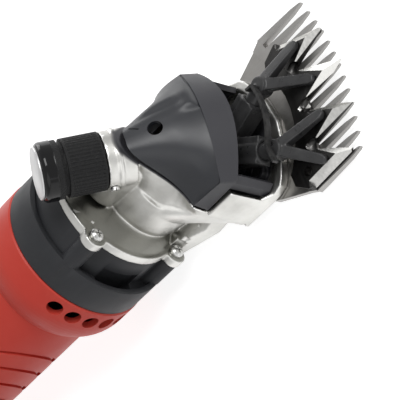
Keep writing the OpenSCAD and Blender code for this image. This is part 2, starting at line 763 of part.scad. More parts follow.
module rocker() {
    reach = pivot_dx - roller_dx;
    color([0.2, 0.2, 0.21]) on_rocker() difference() {
        union() {
            translate([0, 0, -23.2]) cylinder(h = 22.6, r = 8);
            translate([0, 0, yoke_z - 4]) linear_extrude(8) difference() {
                polygon([[0, -7], [0, 7], [-8.5, slot_half + 2.4], [-reach - 3.6, slot_half + 2.4],
                    [-reach - 3.6, -slot_half - 2.4], [-8.5, -slot_half - 2.4]]);
                translate([-reach - 5, -slot_half]) square([11.2, 2 * slot_half]);
            }
            for (side = [-1, 1]) rotate(side * arm_angle) translate([0, 0, arm_z]) {
                translate([0, -5.6, -4]) cube([26, 11.2, 8]);
                bar_x(14, 26.5, 4.9);
            }
        }
        for (side = [-1, 1]) rotate(side * arm_angle) translate([0, 0, arm_z]) bar_x(12, 30, 3.5 + seat);
        translate([0, 0, -26]) cylinder(h = 3, r = 4 + gap);
        translate([0, 0, -23.6]) sphere(r = 4 + gap);
        translate([pin_x() - pivot_x, 0, pin_z()]) sphere(r = pin_r + 0.6);
    }
}

// Place of the ball end of the tension pin
function pin_x() = tension_x + pin_tip * sin(knob_tilt);
function pin_z() = tension_z - pin_tip * cos(knob_tilt);

// A prong from a to b, both in its top face: it tapers in width and height and drops at its end
module prong(a, b) {
    flat = norm([b[0] - a[0], b[1] - a[1]]);
    drop = b[2] - a[2];
    translate(a) rotate([0, 0, atan2(b[1] - a[1], b[0] - a[0])]) intersection() {
        translate([0, 3, 0]) rotate([90, 0, 0]) linear_extrude(6) polygon([[-1.5, 0], [1.5, 0], [flat, drop],
            [flat + 2.2, drop - 0.9], [flat + 2.2, drop - 2.4], [flat - 1, drop - 2.4], [3, -5], [-1.5, -5]]);
        translate([0, 0, drop - 5]) linear_extrude(6 - drop) polygon([[-1.5, 2.5], [flat, 2.1],
            [flat + 2.2, 1.2], [flat + 2.2, -1.2], [flat, -2.1], [-1.5, -2.5]]);
    }
}

// One fork in the swinging frame: round shank, knuckle, two prongs and two toes that sit in the cutter
module fork(side) {
    mid = side * arm_angle;
    root = concat(polar(root_r, mid), [arm_z]);
    difference() {
        union() {
            rotate(mid) translate([0, 0, arm_z]) bar_x(13, root_r, 3.5);
            translate(root - [0, 0, 3.3]) cylinder(h = 6.4, r = 3.9);
            for (toe = toes) {
                tip = concat(polar(toe[0], side * toe[1]), [-26]);
                prong(root + [0, 0, 2.8], tip);
                translate([tip[0], tip[1], cutter_bottom + 0.6]) cylinder(h = 4.6, r = toe_pin_r);
            }
        }
        spring_pin(side, seat);
    }
}

// Peg at one end of the strip spring, r_more larger for its hole in the fork
module spring_pin(side, r_more) {
    at = polar(root_r - 0.5, side * 23);
    translate([at[0], at[1], arm_z + 0.8]) cylinder(h = 4, r = 0.5 + r_more, $fn = 32);
}

module left_fork() {
    color([0.13, 0.13, 0.14]) on_rocker() fork(1);
}

module right_fork() {
    color([0.13, 0.13, 0.14]) on_rocker() fork(-1);
}

// A straight piece of strip from a to b, t thick, seen from above
module strip(a, b, t) {
    d = b - a;
    translate(a) rotate(atan2(d[1], d[0])) translate([0, -t / 2]) square([norm(d), t]);
}

module retaining_spring() {
    color([0.18, 0.18, 0.19]) on_rocker() {
        translate([0, 0, arm_z + 3.9]) linear_extrude(2.6) {
            arc_band(root_r - 1.1, root_r + 0.1, -24, 25);
            strip(polar(root_r - 0.5, -23.9), polar(root_r + 5.3, -34.4), 1.1);
            rotate(-24) translate([root_r - 0.5, 0]) circle(r = 0.6, $fn = 24);
            strip(polar(root_r - 0.5, 24.6), polar(root_r - 3.6, 26.5), 1.1);
        }
        for (side = [-1, 1]) spring_pin(side, 0);
    }
}

// Polar point in the swinging frame
function polar(r, a) = [r * cos(a), r * sin(a)];

// Angle from the middle of the cutter to its inner points, and three times that to its outer points
function point_angle() = swing;

// Takes a slope off one flank of a cutter point: the cut starts along a to c in the top and drops to b
module grind(a, c, b, from, to) {
    d = c - a;
    s = (d[0] * (b[1] - a[1]) - d[1] * (b[0] - a[0])) / norm(d);
    tilt = atan2(cutter_t - 0.5, abs(s));
    intersection() {
        linear_extrude(cutter_t + 1) wedge(40, from, to);
        translate([a[0], a[1], cutter_t]) rotate([0, 0, atan2(d[1], d[0])])
            rotate([s > 0 ? -tilt : tilt, 0, 0]) translate([-5, s > 0 ? 0 : -20, 0]) cube([45, 20, 10]);
    }
}

module cutter() {
    pa = point_angle();
    right = [polar(36, -40), polar(40.5, -45), polar(48.4, -43.2), polar(64.6, -3 * pa - 1.5),
        polar(64.9, -3 * pa - 0.1), polar(46.4, -24.1), polar(45.8, -20.7),
        polar(65, -pa - 0.7), polar(65, -pa + 0.7), polar(44, -3.6)];
    left = [for (k = [len(right) - 1:-1:0]) [right[k][0], -right[k][1]]];
    hub = [for (a = [35:-10:-35]) polar(36, a)];
    color([0.4, 0.4, 0.41]) on_rocker() translate([0, 0, cutter_bottom]) difference() {
        linear_extrude(cutter_t) difference() {
            polygon(concat(right, left, hub));
            for (side = [-1, 1], toe = toes) rotate(side * toe[1]) translate([toe[0], 0])
                circle(r = toe_pin_r + seat, $fn = 32);
            for (a = [-35.5, 35.5]) rotate(a) translate([45, 0]) circle(r = 2.1, $fn = 32);
        }
        for (v = [[43.8, 0], [45.6, -22.4], [45.6, 22.4]]) rotate(v[1]) translate([v[0], 0, cutter_t - 1.8])
            cylinder(h = 4, r = 3.3, $fn = 48);
        for (side = [0, 1]) mirror([0, side, 0]) {
            grind([42.84, 16.19], [55.08, 9.51], [64.51, 10.1], 0, 22.4);
            grind([43.91, 2.76], [54.82, 8], [64.51, 10.1], 0, 22.4);
            grind([42.35, 18.95], [51.77, 26.38], [58.96, 27.1], 22.4, 60);
        }
    }
}

// Across position and tip position of comb tooth k, counted from the left
function tooth_y(k) = ((comb_teeth - 1) / 2 - k) * tooth_pitch;
function tooth_tip(k) = fx + comb_tip_dx - 0.167 * pow(k - (comb_teeth - 1) / 2, 2);

module comb() {
    tooth_len = 27;
    edge = tooth_y(0) + 1.9;
    bend = 40;
    side_x = tooth_tip(0) - tooth_len + 1;
    plate = concat([[fx + 72, 21], [fx + 79.8, 28.2], [fx + 96.3, 35.7], [fx + 101, edge - 0.2],
        [side_x, edge]],
        [for (k = [1:comb_teeth - 2]) [tooth_tip(k) - tooth_len + 1, tooth_y(k)]],
        [[side_x, -edge], [fx + 101, 0.2 - edge], [fx + 96.3, -35.7], [fx + 79.8, -28.2], [fx + 72, -21]]);
    color([0.55, 0.55, 0.54]) difference() {
        translate([0, 0, comb_top - comb_t]) linear_extrude(comb_t - 0.05) difference() {
            union() {
                polygon(plate);
                for (k = [0:comb_teeth - 1]) {
                    tip = tooth_tip(k);
                    y = tooth_y(k);
                    polygon([[tip - tooth_len, y + 1.9], [tip - 6, y + 1.2], [tip - 1, y + 0.55], [tip, y],
                        [tip - 1, y - 0.55], [tip - 6, y - 1.2], [tip - tooth_len, y - 1.9]]);
                }
            }
            for (side = [-1, 1]) translate([fx + 71, side * 14 - 2.3]) square([8, 4.6]);
            at_comb_screws(0) circle(r = 2.3, $fn = 32);
        }
        translate([0, 0, comb_top - 0.45]) linear_extrude(1) difference() {
            translate([fx + 17, 0]) circle(r = 87, $fn = 128);
            nose_outline(nose_r + 0.8);
        }
        translate([fx + 104, -bend, comb_top - comb_t]) rotate([0, -3.4, 0]) translate([0, 0, -4])
            cube([40, 2 * bend, 4]);
        at_comb_screws(comb_top - comb_t - 1) cylinder(h = 2.6, r = 4.6);
        translate([fx + 71, -50, comb_top - comb_t - 1]) cube([0.9, 100, 10]);
        for (side = [-1, 1]) translate([fx + 71, side * 14 - 4.6, comb_top - comb_t - 1]) cube([8, 9.2, 2.6]);
    }
}

module comb_screws() {
    color([0.3, 0.3, 0.31]) at_comb_screws(comb_top - comb_t) difference() {
        union() {
            translate([0, 0, -1.4]) cylinder(h = 2.9, r = 4.2);
            cylinder(h = comb_t + 4.3, r = screw_r - 0.02);
        }
        translate([-5, -0.6, -2.4]) cube([10, 1.2, 2]);
    }
}

module tension_sleeve() {
    color([0.6, 0.6, 0.6]) on_tension() difference() {
        union() {
            translate([0, 0, -10]) cylinder(h = 11, r = 6);
            cylinder(h = 16, r = sleeve_r);
        }
        translate([0, 0, -11]) cylinder(h = 40, r = pin_r + run);
    }
}

module tension_pin() {
    color([0.62, 0.63, 0.65]) on_tension() {
        translate([0, 0, -pin_tip]) cylinder(h = pin_tip + 18, r = pin_r);
        translate([0, 0, -pin_tip]) sphere(r = pin_r);
        translate([0, 0, 17.8]) cylinder(h = 2.2, r = 5);
    }
}

module tension_spring() {
    color([0.4, 0.4, 0.42]) on_tension() translate([0, 0, 20.1]) difference() {
        cylinder(h = 2.8, r = 4.6);
        translate([0, 0, -1]) cylinder(h = 6, r = 3.2);
    }
}

module tension_knob() {
    body = knob_len - 11;
    color([0.07, 0.07, 0.07]) on_tension() difference() {
        rotate_extrude($fn = 96) difference() {
            union() {
                translate([0, gap]) square([knob_r, body - gap]);
                square_up(body - 0.1, body + 2, knob_r - 1.2);
                square_up(body + 1.9, body + 4.4, knob_r);
                square_up(body + 4.3, knob_len - 3, knob_r + 0.3);
                translate([knob_r - 1.9, knob_len - 3]) circle(r = 2.2, $fn = 32);
                square_up(knob_len - 3.1, knob_len - 0.9, knob_r - 1.9);
            }
            translate([-50, -10]) square([50, 60]);
        }
        translate([0, 0, -1]) cylinder(h = 18.4, r = sleeve_r + run);
        translate([0, 0, 17]) cylinder(h = 6, r = 5.3);
        translate([0, 0, knob_len - 0.9]) cylinder(h = 4, r = knob_r - 1.1);
        for (k = [0:flutes - 1]) rotate(k * 360 / flutes) translate([knob_r + 0.32, 0, 1.2])
            cylinder(h = body - 2.4, r = 0.55, $fn = 12);
    }
}

// A half profile from z0 to z1 up to radius r, for turning round Z
module square_up(z0, z1, r) {
    translate([0, z0]) square([r, z1 - z0]);
}

module knob_plate() {
    color([0.7, 0.7, 0.7]) on_tension() translate([0, 0, knob_len - 0.85])
        cylinder(h = 0.85, r = knob_r - 1.15);
}

motor_housing();
rear_cap();
rear_cap_screws();
cable_gland();
switch_frame();
switch_body();
switch_rocker();
field_core();
field_coils();
armature_shaft();
armature_core();
armature_windings();
commutator();
cooling_fan();
motor_pinion();
rear_bearing();
front_bearing();
brush_holders();
carbon_brushes();
brush_caps();
gear_case();
drive_gear();
crank_shaft();
crank_bush();
crank_bearing();
crank_roller();
head_casting();
flange_screws();
boss_lock_screw();
head_cover();
centre_post();
rocker();
left_fork();
right_fork();
retaining_spring();
cutter();
comb();
comb_screws();
tension_sleeve();
tension_pin();
tension_spring();
tension_knob();
knob_plate();
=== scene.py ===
"""Sheep shears: materials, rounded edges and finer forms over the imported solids."""
import json
import math

import bmesh
import bpy
import numpy as np
from mathutils import Matrix, Vector


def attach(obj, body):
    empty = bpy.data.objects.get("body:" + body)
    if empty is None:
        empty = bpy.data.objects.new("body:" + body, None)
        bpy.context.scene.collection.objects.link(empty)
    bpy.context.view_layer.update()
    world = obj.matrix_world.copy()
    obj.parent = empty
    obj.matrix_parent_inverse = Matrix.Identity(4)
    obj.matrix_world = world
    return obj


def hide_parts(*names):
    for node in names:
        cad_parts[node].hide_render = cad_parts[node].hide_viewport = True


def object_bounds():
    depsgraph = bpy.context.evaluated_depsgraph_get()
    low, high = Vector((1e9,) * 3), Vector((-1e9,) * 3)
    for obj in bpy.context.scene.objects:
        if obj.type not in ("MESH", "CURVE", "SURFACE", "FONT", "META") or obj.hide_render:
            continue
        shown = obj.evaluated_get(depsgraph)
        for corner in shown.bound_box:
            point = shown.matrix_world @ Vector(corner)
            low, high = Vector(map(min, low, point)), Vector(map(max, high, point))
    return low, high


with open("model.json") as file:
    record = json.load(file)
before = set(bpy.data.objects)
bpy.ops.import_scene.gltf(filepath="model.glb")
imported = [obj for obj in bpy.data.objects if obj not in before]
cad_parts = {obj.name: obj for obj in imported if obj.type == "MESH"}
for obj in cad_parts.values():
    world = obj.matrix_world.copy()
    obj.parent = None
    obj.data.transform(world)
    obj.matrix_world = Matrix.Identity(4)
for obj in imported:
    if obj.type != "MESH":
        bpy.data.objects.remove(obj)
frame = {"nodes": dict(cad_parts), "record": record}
CAD_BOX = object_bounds()
NODES = frame["nodes"]
SLOT_OF = {s["node"]: s["material_slot"] for s in frame["record"]["subparts"]}
BODY_OF = {n: b for b, ns in frame["record"]["behaviour"]["bodies"].items() for n in ns}
MM = 0.001

# Camera, at the place and lens found from the comb tips, the seam and the knob
SENSOR_WIDTH = 36.0
LENS = 207.9
CAMERA_PLACE = Vector((755.0, -506.3, 584.4)) * MM
CAMERA_RIGHT = Vector((0.6069, -0.2890, -0.7404))
CAMERA_BACK = Vector((0.5401, -0.5335, 0.6509))

# Stage: light of the surroundings on the object and as seen, the share of it that metal mirrors,
# the floor, and the lamps with their place, size and power
WORLD_LIGHT, WORLD_SEEN, WORLD_MIRRORED = 0.30, 1.0, 0.55
FLOOR_GREY, FLOOR_GLOW, FLOOR_SIZE, FLOOR_GAP = 0.60, 0.80, 6.0, 0.3 * MM
LAMP_TARGET = Vector((0.24, 0, 0))
LAMPS = (
    ("key", (0.98, 0.06, 0.86), 0.55, 6.8),
    ("fill", (0.35, -0.95, 0.55), 0.9, 2.0),
    ("back", (0.05, 1.0, 0.32), 0.6, 3.0))

# Tension knob: its tilted axis, a point on it, and where along it the knurling gives way to the band
TENSION_TILT = math.radians(35)
TENSION_AXIS = (-math.sin(TENSION_TILT), 0.0, math.cos(TENSION_TILT))
TENSION_ORIGIN = Vector((251.6, 0.0, 26.3)) * MM
KNURL_END = (19.3 * MM, 20.1 * MM)

# Places where the colour changes, each with its soft edge: along x for the painted shade on the flange
# face, the rear of the rocker's chamber and the roots of the comb teeth, painted darker as shade, and
# outward from the chamber's centre for its wall, dark with oil and painted shade
FLANGE_FACE_X = (233.5 * MM, 236.5 * MM)
CHAMBER_REAR_X = (263.0 * MM, 263.6 * MM)
CHAMBER_CENTRE = Vector((267, 0, 0)) * MM
CHAMBER_WALL = (24.0 * MM, 24.6 * MM)
TOOTH_ROOT_X = (303.5 * MM, 307.5 * MM)

# Head cover in millimetres, with x measured from the seam. Each edge of the front band has its half
# width, x and its bend, z and its bend, and its run back along the side of the head
SEAM_X = 200
FRONT_SHARE = 0.64
BAND_REAR = (27.4, 90.4, 0.01132, 4.8, 0.0076, (-16.6, -1.2, -0.4))
BAND_FRONT = (27.3, 96.6, 0.01583, -4.8, 0.00376, (-19.8, -0.4, -0.9))
BAND_SIDE_X, BAND_SIDE_Y, BAND_SIDE_Z = 81.9, 23, -0.92
BAND_MARGIN = 0.02
COVER_HALF_WIDTH = 26
LIFT_LEFT = ((0, 0.8), (0.2, 1.4), (0.34, 3.8), (0.7, 4.4), (0.85, 2.4), (1, 0))
LIFT_RIGHT = ((0, 0.8), (0.3, 0.4), (0.6, -0.8), (1, 0))
REAR_X, REAR_BEND, REAR_BEND_Y = 66, 1.6, 18
REAR_FOOT, REAR_RISE, REAR_SPREAD, REAR_POWER = -4, 29.3, 13, 3.6
RECESS_DEPTH, RECESS_ROWS = 1.3, (0.6, 1.0)
RECESS_LEFT, RECESS_RIGHT = (0.05, 0.14), (-0.66, -0.5)
FOLD_HEIGHT, FOLD_RISE, FOLD_FALL = 1.5, (0.72, 0.92), (0.0, 0.06)
FOLD_RIGHT, FOLD_LEFT = (0.05, 0.15), (-0.5, -0.25)
LINE_DEPTH, LINE_ROWS = 0.5, (0.9745, 0.9975)
COVER_COLUMNS = 60
COVER_ROWS = ([k / 40 for k in range(39)] + [0.972, 0.975, 0.997, 1.0, 1.0001]
    + [1 + k / 8 for k in range(1, 9)])
COVER_CORE, COVER_INSIDE = Vector((266, 0, -14)) * MM, 0.925
OIL_HOLE_R, OIL_HOLE_LEAN, OIL_HOLE_FOOT = 3.1, math.radians(32), Vector((264.8, 0, 0)) * MM
OIL_HOLE_REACH = 40
SLIT_ENDS, SLIT_SIZE = ((0.15, 0.1), (0.08, 0.2)), (4.4, 0.5, 1.6)
CHEEK = ((78.8, 26.3), (82.4, 26.3), (85.2, 24.6), (84, 22.5), (81.6, 23.9), (78.8, 23.9))
CHEEK_FOOT, CHEEK_HEIGHT = -27.6, 21.2

# Cutter in millimetres: its swing axis and rest angle, its top face, the slope ground on each flank,
# and the ends of a flank, the same on both sides, as radius and angle from the swing axis
SWING_X, REST_ANGLE = 270, 8.2
CUTTER_TOP, GRIND_DEPTH, GRIND_WIDTH = -28.6, 2.7, 3.0
GRIND_ENDS = ((48.4, 43.2), (64.6, 26.1))
GRIND_START, GRIND_PAST, GRIND_SPARE, GRIND_ABOVE = 1.2, 6, 4, 3

# Finishes that share a recipe: plastics, metals with ground lines, and oiled black steels
PLASTICS = {
    "red_plastic": dict(base=(0.58, 0.05, 0.034), pale=(0.64, 0.08, 0.056), rough=0.44),
    "black_plastic": dict(base=(0.026, 0.027, 0.030), pale=(0.042, 0.043, 0.047), rough=0.5),
    "cover_plastic": dict(base=(0.019, 0.0205, 0.025), pale=(0.028, 0.030, 0.035), rough=0.40,
        grain=2400, depth=0.00003, gloss=0.52),
    "cover_band": dict(base=(0.040, 0.040, 0.046), pale=(0.050, 0.050, 0.057), rough=0.46,
        grain=2400, depth=0.00004, gloss=0.42),
    "switch_plastic": dict(base=(0.32, 0.018, 0.014), pale=(0.42, 0.05, 0.04), rough=0.28, coat=0.3),
    "rubber": dict(base=(0.014, 0.014, 0.015), pale=(0.035, 0.034, 0.034), rough=0.7, grain=900),
    "carbon": dict(base=(0.02, 0.02, 0.021), pale=(0.05, 0.05, 0.05), rough=0.6)}
GROUND_METALS = {
    "screw_steel": dict(dark=(0.45, 0.45, 0.44), light=(0.66, 0.66, 0.65), rough=0.3,
        scale=(900, 900, 900)),
    "steel": dict(dark=(0.38, 0.38, 0.39), light=(0.55, 0.55, 0.56), rough=0.3, scale=(2600, 70, 70)),
    "brass": dict(dark=(0.5, 0.36, 0.13), light=(0.66, 0.5, 0.22), rough=0.32,
        scale=(1200, 1200, 1200))}
BLACK_STEELS = {
    "dark_steel": dict(dark=(0.026, 0.026, 0.027), light=(0.046, 0.046, 0.047), rough=0.32, wear=0.35),
    "spring_steel": dict(dark=(0.012, 0.012, 0.012), light=(0.022, 0.022, 0.022), rough=0.4, wear=0.12)}

# Pieces whose finish differs from that of their slot, and pieces with small rounds in millimetres
LOOKS = {"cutter": "cutter_steel", "retaining_spring": "spring_steel"}
ROUNDS = {
    "rear_cap": 0.4, "gear_case": 0.35, "knob_plate": 0.2, "flange_screws": 0.15,
    "switch_frame": 0.3, "switch_rocker": 0.3, "cable_gland": 0.4, "brush_caps": 0.3,
    "comb_screws": 0.15, "tension_sleeve": 0.2}

# Clean-up of meshes: lengths in metres, angles in degrees
WELD_DISTANCE, JOIN_DISTANCE, SPECK_SIZE = 2e-6, 1e-6, 0.1 * MM
FLAT_ANGLE, ROUND_ANGLE, ROUND_SEGMENTS = 0.4, 32, 2


def make_camera():
    data = bpy.data.cameras.new("camera")
    data.sensor_width = SENSOR_WIDTH
    data.lens = LENS
    data.clip_start, data.clip_end = 0.05, 20.0
    cam = bpy.data.objects.new("camera", data)
    back = CAMERA_BACK.normalized()
    up = back.cross(CAMERA_RIGHT.normalized()).normalized()
    right = up.cross(back)
    cam.matrix_world = Matrix((
        (right.x, up.x, back.x, CAMERA_PLACE.x),
        (right.y, up.y, back.y, CAMERA_PLACE.y),
        (right.z, up.z, back.z, CAMERA_PLACE.z),
        (0, 0, 0, 1)))
    bpy.context.scene.collection.objects.link(cam)
    bpy.context.scene.camera = cam


def put(nt, socket, value):
    """Links a socket to another one, or sets it to a plain value."""
    if isinstance(value, bpy.types.NodeSocket):
        nt.links.new(value, socket)
    else:
        socket.default_value = value


def math_node(nt, op, a, b):
    n = nt.nodes.new("ShaderNodeMath")
    n.operation = op
    put(nt, n.inputs[0], a)
    put(nt, n.inputs[1], b)
    return n.outputs[0]


class Tree:
    """A material with short names for building its node tree."""

    def __init__(self, name):
        self.mat = bpy.data.materials.new(name)
        self.mat.use_nodes = True
        self.nt = self.mat.node_tree
        self.bsdf = self.nt.nodes["Principled BSDF"]
        self.coord = self.add("ShaderNodeTexCoord").outputs["Object"]

    def add(self, kind, inputs=None, **props):
        n = self.nt.nodes.new(kind)
        for k, v in props.items():
            setattr(n, k, v)
        for k, v in (inputs or {}).items():
            put(self.nt, n.inputs[k], v)
        return n

    def shader(self, **values):
        for k, v in values.items():
            put(self.nt, self.bsdf.inputs[k.replace("_", " ")], v)

    def stretched(self, scale):
        return self.add("ShaderNodeMapping", {"Vector": self.coord, "Scale": scale}).outputs[0]

    def noise(self, scale, detail=3.0, rough=0.55, vector=None):
        inputs = {"Vector": vector or self.coord, "Scale": scale, "Detail": detail, "Roughness": rough}
        return self.add("ShaderNodeTexNoise", inputs).outputs["Fac"]

    def cells(self, scale):
        n = self.add("ShaderNodeTexVoronoi", {"Vector": self.coord, "Scale": scale})
        return n.outputs["Distance"]

    def bands(self, scale, distortion=0.0):
        inputs = {"Vector": self.coord, "Scale": scale, "Distortion": distortion}
        n = self.add("ShaderNodeTexWave", inputs, wave_type="BANDS", bands_direction="X")
        return n.outputs["Fac"]

    def math(self, op, a, b):
        return math_node(self.nt, op, a, b)

    def vector(self, op, a, b):
        return self.add("ShaderNodeVectorMath", {0: a, 1: b}, operation=op).outputs[0]

    def dot(self, a, b):
        n = self.add("ShaderNodeVectorMath", {0: a, 1: b}, operation="DOT_PRODUCT")
        return n.outputs["Value"]

    def length(self, a):
        return self.add("ShaderNodeVectorMath", {0: a}, operation="LENGTH").outputs["Value"]

    def along(self, axis, vector=None):
        return self.add("ShaderNodeSeparateXYZ", {0: vector or self.coord}).outputs[axis]

    def geometry(self, name):
        return self.add("ShaderNodeNewGeometry").outputs[name]

    def range(self, value, a, b, c, d):
        inputs = {"Value": value, "From Min": a, "From Max": b, "To Min": c, "To Max": d}
        return self.add("ShaderNodeMapRange", inputs).outputs["Result"]

    def mix(self, fac, a, b):
        a, b = (c if isinstance(c, bpy.types.NodeSocket) else (*c, 1) for c in (a, b))
        return self.add("ShaderNodeMix", {"Factor": fac, 6: a, 7: b}, data_type="RGBA").outputs[2]

    def bump(self, height, distance, strength=1.0):
        inputs = {"Height": height, "Distance": distance, "Strength": strength}
        return self.add("ShaderNodeBump", inputs).outputs[0]

    def edges(self, low, high):
        return self.range(self.geometry("Pointiness"), low, high, 0, 1)

    def hollows(self, distance, low, high):
        n = self.add("ShaderNodeAmbientOcclusion", {"Distance": distance}, samples=6)
        return self.range(n.outputs["AO"], low, high, 1, 0)


def moulded(name, base, pale, rough, grain=1800.0, depth=0.00005, coat=0.0, gloss=0.28):
    """Moulded plastic: a fine grained skin with faint clouds and rubbed edges."""
    t = Tree(name)
    tint = t.mix(t.range(t.noise(45, 4), 0.35, 0.7, 0, 0.3), base, pale)
    rubbed = t.range(t.noise(300, 3), 0.4, 0.65, 0, 0.5)
    worn = t.math("MULTIPLY", t.edges(0.53, 0.63), rubbed)
    t.shader(Base_Color=t.mix(worn, tint, pale))
    t.shader(Roughness=t.range(t.noise(120, 5), 0.3, 0.7, rough - 0.05, rough + 0.05))
    t.shader(Normal=t.bump(t.noise(grain, 2, 0.6), depth, 0.5))
    t.shader(Coat_Weight=coat, Coat_Roughness=0.3, Specular_IOR_Level=gloss)
    return t.mat


def knob_plastic():
    """The tension knob: a fine rough skin on the grip, a polished band next to the end plate."""
    t = Tree("knob_plastic")
    place = t.dot(t.vector("SUBTRACT", t.coord, TENSION_ORIGIN), TENSION_AXIS)
    band = t.range(place, *KNURL_END, 0, 1)
    rough_skin = t.math("SUBTRACT", 1.0, band)
    specks = t.cells(1500)
    tint = t.mix(t.range(specks, 0.1, 0.6, 0, 1), (0.008, 0.008, 0.0084), (0.002, 0.002, 0.0023))
    t.shader(Base_Color=t.mix(band, tint, (0.004, 0.004, 0.0045)))
    t.shader(Roughness=t.range(band, 0, 1, 0.62, 0.10), Specular_IOR_Level=0.3)
    t.shader(Normal=t.bump(t.math("MULTIPLY", specks, rough_skin), 0.00025, 0.8))
    return t.mat


def head_inside(t):
    """1 on the walls round the moving rocker, darkened for oil and for painted shade, 0 outside the
    head.
    """
    flat = t.vector("MULTIPLY", t.vector("SUBTRACT", t.coord, CHAMBER_CENTRE), (1.0, 1.0, 0.0))
    near = t.range(t.length(flat), *CHAMBER_WALL, 1, 0)
    return t.math("MULTIPLY", near, t.range(t.along("X"), *CHAMBER_REAR_X, 0, 1))


def cast_metal():
    """Bead-blasted cast aluminium with painted shade on the flange face and in hollows, bright on
    rubbed edges, dark oil and painted shade on the walls round the rocker.
    """
    t = Tree("cast_aluminium")
    clouds = t.range(t.noise(60, 4), 0.3, 0.7, 0, 1)
    tint = t.mix(clouds, (0.50, 0.495, 0.47), (0.76, 0.755, 0.73))
    # Painted shade on the flange face: its faces that look forward along x are darkened, and the rim
    # stays bright.
    facing = t.range(t.along("X", t.geometry("Normal")), 0.35, 0.75, 0, 1)
    flange_shade = t.math("MULTIPLY", t.range(t.along("X"), *FLANGE_FACE_X, 0.85, 0), facing)
    tint = t.mix(flange_shade, tint, (0.22, 0.218, 0.196))
    # Painted shade in hollows: ambient occlusion, broken into patches by noise, darkens the colour.
    shade_patchiness = t.range(t.noise(220, 4), 0.3, 0.7, 0.45, 0.8)
    hollow_shade = t.math("MULTIPLY", t.hollows(0.012, 0.2, 0.8), shade_patchiness)
    tint = t.mix(hollow_shade, tint, (0.17, 0.167, 0.147))
    tint = t.mix(t.edges(0.525, 0.58), tint, (0.90, 0.90, 0.89))
    # The walls round the rocker: dark oil together with painted shade, and less metallic.
    inside = head_inside(t)
    t.shader(Base_Color=t.mix(inside, tint, (0.035, 0.035, 0.040)))
    t.shader(Metallic=t.range(inside, 0, 1, 1, 0.3))
    t.shader(Roughness=t.range(t.noise(160, 4), 0.3, 0.7, 0.28, 0.42))
    skin = t.math("ADD", t.noise(2600, 2, 0.6), t.math("MULTIPLY", t.noise(180, 3), 3.0))
    t.shader(Normal=t.bump(skin, 0.00006, 0.6))
    return t.mat


def ground_metal(name, dark, light, rough, scale):
    """Ground or drawn metal with fine lines along one direction and bright edges."""
    t = Tree(name)
    lines = t.noise(1.0, 3, 0.6, t.stretched(scale))
    tint = t.mix(t.range(lines, 0.3, 0.7, 0, 1), dark, light)
    tint = t.mix(t.edges(0.53, 0.6), tint, tuple(min(1, 1.35 * c) for c in light))
    t.shader(Base_Color=tint, Metallic=1.0, Anisotropic=0.3)
    t.shader(Roughness=t.range(lines, 0.3, 0.7, rough - 0.08, rough + 0.08))
    t.shader(Normal=t.bump(lines, 0.00002, 0.6))
    return t.mat


def comb_steel():
    """The comb: a smooth ground plate with teeth painted darker, as painted shade for their hollow
    grinding.
    """
    t = Tree("blade_steel")
    lines = t.noise(1.0, 3, 0.6, t.stretched((60, 1900, 1900)))
    tint = t.mix(t.range(lines, 0.3, 0.7, 0, 1), (0.31, 0.301, 0.288), (0.35, 0.34, 0.325))
    tint = t.mix(t.range(t.noise(140, 5), 0.5, 0.75, 0, 0.5), tint, (0.26, 0.25, 0.235))
    # Painted shade: the teeth are darker from their roots on.
    teeth = t.range(t.along("X"), *TOOTH_ROOT_X, 0, 0.85)
    tint = t.mix(teeth, tint, (0.22, 0.215, 0.203))
    tint = t.mix(t.math("MULTIPLY", t.edges(0.53, 0.6), 0.6), tint, (0.42, 0.41, 0.40))
    t.shader(Base_Color=tint, Metallic=1.0, Anisotropic=0.3)
    t.shader(Roughness=t.range(lines, 0.3, 0.7, 0.3, 0.42))
    t.shader(Normal=t.bump(lines, 0.00002, 0.5))
    return t.mat


def cutter_steel():
    """The cutter: dark hardened steel, bright where its flanks are ground."""
    t = Tree("cutter_steel")
    lines = t.noise(1.0, 3, 0.6, t.stretched((900, 60, 900)))
    clouds = t.range(t.noise(160, 4), 0.3, 0.7, 0, 1)
    tint = t.mix(clouds, (0.045, 0.044, 0.043), (0.075, 0.073, 0.071))
    up = t.along("Z", t.geometry("True Normal"))
    slope = t.math("MULTIPLY", t.range(up, 0.2, 0.3, 0, 1), t.range(up, 0.985, 0.995, 1, 0))
    bright = t.mix(t.range(lines, 0.3, 0.7, 0, 1), (0.60, 0.595, 0.575), (0.74, 0.735, 0.71))
    t.shader(Base_Color=t.mix(slope, tint, bright), Metallic=1.0)
    t.shader(Roughness=t.range(lines, 0.3, 0.7, 0.28, 0.4))
    t.shader(Normal=t.bump(lines, 0.00001, 0.4))
    return t.mat


def blackened(name, dark, light, rough, wear):
    """Oiled black steel with faintly rubbed edges."""
    t = Tree(name)
    tint = t.mix(t.range(t.noise(180, 4), 0.3, 0.7, 0, 1), dark, light)
    rubbed = t.range(t.noise(500, 3), 0.35, 0.6, 0, wear)
    worn = t.math("MULTIPLY", t.edges(0.54, 0.64), rubbed)
    t.shader(Base_Color=t.mix(worn, tint, (0.25, 0.245, 0.24)), Specular_IOR_Level=0.35)
    t.shader(Roughness=t.range(t.noise(260, 4), 0.3, 0.7, rough - 0.07, rough + 0.07))
    t.shader(Normal=t.bump(t.noise(900, 3), 0.00004, 0.5))
    return t.mat


def wound():
    """Enamelled copper wire laid side by side."""
    t = Tree("copper")
    wires = t.bands(500, 0.6)
    t.shader(Base_Color=t.mix(wires, (0.35, 0.12, 0.045), (0.62, 0.27, 0.1)), Metallic=0.8)
    t.shader(Roughness=t.range(t.noise(200), 0.3, 0.7, 0.28, 0.42), Coat_Weight=0.5)
    t.shader(Normal=t.bump(wires, 0.0002))
    return t.mat


def laminated():
    """A stack of thin steel sheets seen from its edge."""
    t = Tree("core_steel")
    sheets = t.bands(320)
    t.shader(Base_Color=t.mix(sheets, (0.12, 0.12, 0.13), (0.3, 0.3, 0.31)), Metallic=0.9)
    t.shader(Roughness=t.range(t.noise(300), 0.3, 0.7, 0.4, 0.55))
    t.shader(Normal=t.bump(sheets, 0.0001))
    return t.mat


